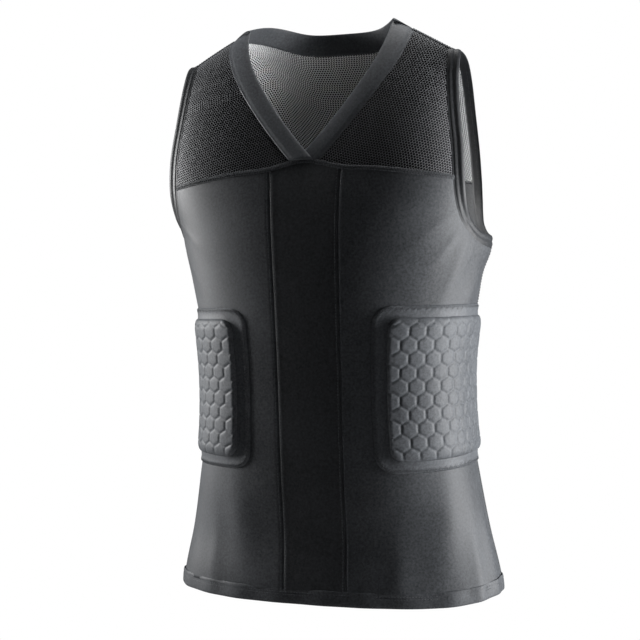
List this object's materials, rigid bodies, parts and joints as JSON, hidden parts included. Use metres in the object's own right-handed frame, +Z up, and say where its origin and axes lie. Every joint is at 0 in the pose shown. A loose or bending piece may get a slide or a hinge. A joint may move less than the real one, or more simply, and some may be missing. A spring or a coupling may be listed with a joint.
{
  "type": "padded protective tank top",
  "caption": "Sleeveless V-neck compression shirt in stretch knit with mesh yokes, bound armholes, flat front seams and raised hexagon foam pads on both sides of the waist",
  "frame": {"origin": "midway between the two shoulders, at the height of the neck points, where the shirt rests on its wearer", "axes": "+X to the wearer's left, -Y out of the front, +Z up towards the neck"},
  "size_m": [0.3967, 0.2263, 0.6855],
  "materials": {
    "knit": "smooth stretch knit with a soft sheen",
    "mesh": "open mesh knit",
    "band": "folded satin knit",
    "pad": "knit bonded to moulded foam"
  },
  "bodies": {
    "root": {"centre_front_panel": "knit", "front_side_panel_left": "knit", "front_side_panel_right": "knit", "back_panel": "knit", "front_yoke_left": "mesh", "front_yoke_right": "mesh", "back_yoke": "mesh", "neckband": "band", "armhole_binding_left": "band", "armhole_binding_right": "band", "side_pocket_left": "pad", "side_pocket_right": "pad", "hex_pad_left": "pad", "hex_pad_right": "pad", "hem_band": "knit"}
  },
  "joints": []
}
